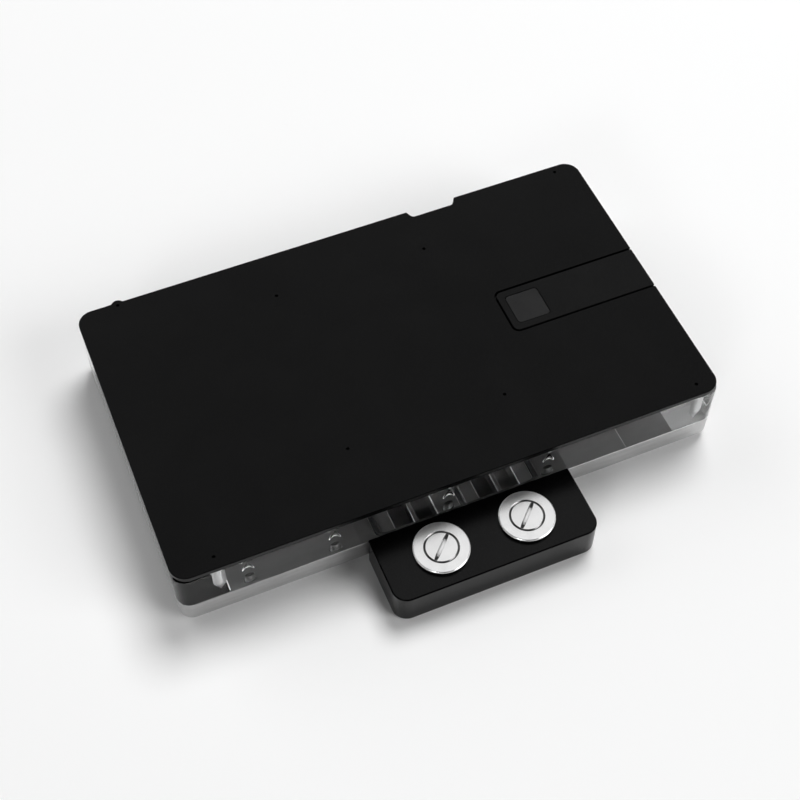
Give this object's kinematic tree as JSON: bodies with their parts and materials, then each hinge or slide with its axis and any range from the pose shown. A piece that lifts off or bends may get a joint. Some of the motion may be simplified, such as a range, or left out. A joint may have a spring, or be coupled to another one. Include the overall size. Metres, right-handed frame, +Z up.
{
  "type": "gpu water block",
  "caption": "Flat liquid cooling block for a graphics card: milled cold plate under a clear top and a black cover plate, with a terminal block and plugged ports in front.",
  "frame": {"origin": "centre of the whole object's footprint, on the surface that it stands on", "axes": "+X along the body's length, to the viewer's right when the terminal block faces the viewer; -Y towards the terminal block; +Z up, from the standoffs to the cover plate"},
  "size_m": [0.189, 0.138, 0.0284],
  "materials": {
    "black_anodised": "black anodised, fine satin",
    "black_strip": "smooth black",
    "badge_tile": "smooth dark grey, bare",
    "clear_acrylic": "clear, polished",
    "nickel_plate": "satin nickel plating over copper",
    "flow_plate_steel": "plain stainless steel",
    "black_rubber": "matt black rubber",
    "black_acetal": "machined black acetal, fine satin",
    "bright_plug": "polished plating",
    "bright_bush": "bright metal",
    "black_screw": "black oxide",
    "steel_screw": "stainless steel"
  },
  "bodies": {
    "root": {"cover_plate": "black_anodised", "accent_strip": "black_strip", "badge_tile": "badge_tile", "clear_top": "clear_acrylic", "cold_plate": "nickel_plate", "flow_plate": "flow_plate_steel", "main_seal": "black_rubber", "terminal_block": "black_acetal", "terminal_seal_left": "black_rubber", "terminal_seal_right": "black_rubber", "port_plug_left": "bright_plug", "port_plug_right": "bright_plug", "plug_o_ring_left": "black_rubber", "plug_o_ring_right": "black_rubber", "cover_screw_1": "black_screw", "cover_screw_2": "black_screw", "cover_screw_3": "black_screw", "cover_screw_4": "black_screw", "cover_screw_5": "black_screw", "cover_screw_6": "black_screw", "cover_screw_7": "black_screw", "cover_screw_8": "black_screw", "cover_insert_1": "bright_bush", "cover_insert_2": "bright_bush", "cover_insert_3": "bright_bush", "cover_insert_4": "bright_bush", "body_screw_1": "steel_screw", "body_screw_2": "steel_screw", "body_screw_3": "steel_screw", "body_screw_4": "steel_screw", "body_screw_5": "steel_screw", "body_screw_6": "steel_screw", "body_screw_7": "steel_screw", "body_screw_8": "steel_screw", "body_screw_9": "steel_screw", "body_screw_10": "steel_screw", "body_screw_11": "steel_screw", "body_screw_12": "steel_screw", "body_screw_13": "steel_screw", "terminal_bolt_1": "steel_screw", "terminal_bolt_2": "steel_screw", "terminal_bolt_3": "steel_screw"}
  },
  "joints": []
}
